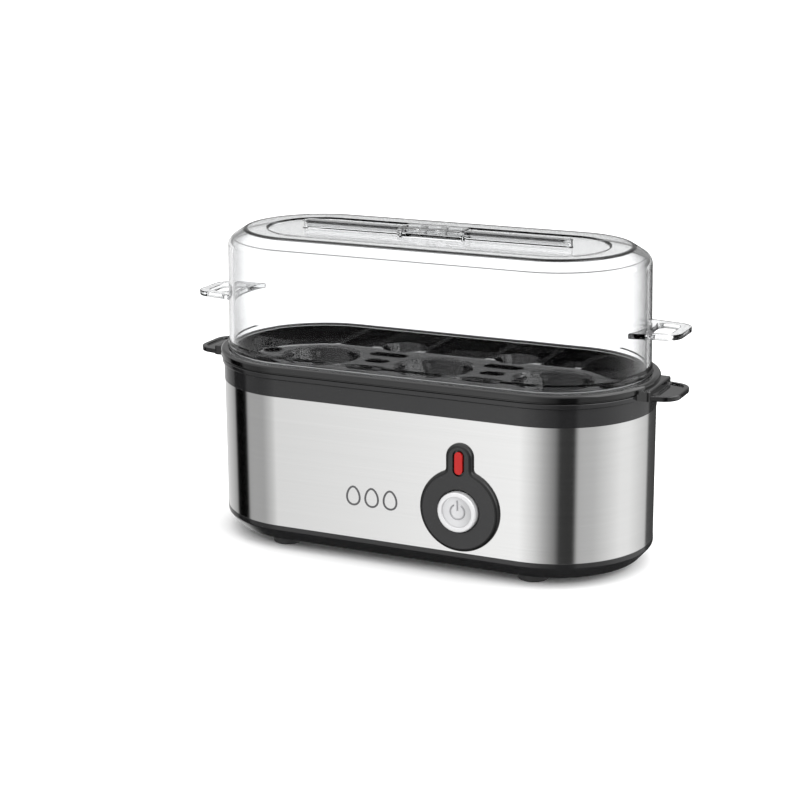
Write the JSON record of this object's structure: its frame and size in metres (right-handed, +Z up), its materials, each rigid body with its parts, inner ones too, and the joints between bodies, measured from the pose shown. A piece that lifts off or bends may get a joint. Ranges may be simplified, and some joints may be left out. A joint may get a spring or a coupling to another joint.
{
  "type": "electric egg cooker",
  "caption": "Electric egg cooker: stadium-shaped steel-sleeved base with push button and lamp, lift-out black egg tray and clear vented lid with side tabs.",
  "frame": {"origin": "on the surface that the feet stand on, under the middle of the body", "axes": "+Z up, +X along the body to the right as seen from the control panel, -Y out of the panel"},
  "size_m": [0.24, 0.0996, 0.1485],
  "materials": {
    "lid_clear": "clear polished",
    "black_plastic": "glossy moulded",
    "steel": "brushed along the body",
    "rubber": "matt",
    "silver_plastic": "satin silver paint",
    "red_lens": "clear tinted",
    "dish_steel": "satin",
    "silicone": "matt",
    "element_sheath": "dull",
    "zinc": "zinc plated",
    "aluminium": "mill finish",
    "nylon": "moulded",
    "dark_nylon": "moulded",
    "brass": "tinned",
    "lamp_glass": "clear",
    "spring_steel": "drawn wire",
    "wire_brown": "insulated wire",
    "wire_blue": "insulated wire",
    "wire_white": "insulated wire"
  },
  "bodies": {
    "base": {"top_bezel": "black_plastic", "steel_sleeve": "steel", "base_pan": "black_plastic", "foot_front_left": "rubber", "foot_front_right": "rubber", "foot_rear_left": "rubber", "foot_rear_right": "rubber", "control_panel": "black_plastic", "indicator_lens": "red_lens", "heating_plate": "dish_steel", "plate_seal": "silicone", "heating_element": "element_sheath", "element_clamps": "zinc", "plate_studs": "zinc", "stud_nuts": "zinc", "thermostat": "aluminium", "thermal_fuse": "nylon", "fuse_clip": "zinc", "heat_shield": "aluminium", "power_switch": "dark_nylon", "switch_terminals": "brass", "button_spring": "spring_steel", "switch_bracket": "nylon", "bracket_screws": "zinc", "indicator_lamp": "lamp_glass", "terminal_block": "nylon", "cord_bushing": "rubber", "base_screws": "zinc", "lead_mains": "wire_brown", "lead_switched": "wire_brown", "lead_element": "wire_white", "lead_return": "wire_blue"},
    "tray": {"egg_tray": "black_plastic"},
    "lid": {"lid": "lid_clear", "lid_grips": "lid_clear"},
    "button": {"power_button": "silver_plastic", "switch_plunger": "nylon"}
  },
  "joints": [
    {"name": "tray_lift", "type": "slide", "parent": "base", "child": "tray", "axis": [0, 0, 1], "range_m": [0, 0.06]},
    {"name": "lid_lift", "type": "slide", "parent": "tray", "child": "lid", "axis": [0, 0, 1], "range_m": [0, 0.1]},
    {"name": "button_press", "type": "slide", "parent": "base", "child": "button", "axis": [0, 1, 0], "range_m": [0, 0.0022], "stiffness_N_per_m": 400, "deforming": ["button_spring"]}
  ]
}
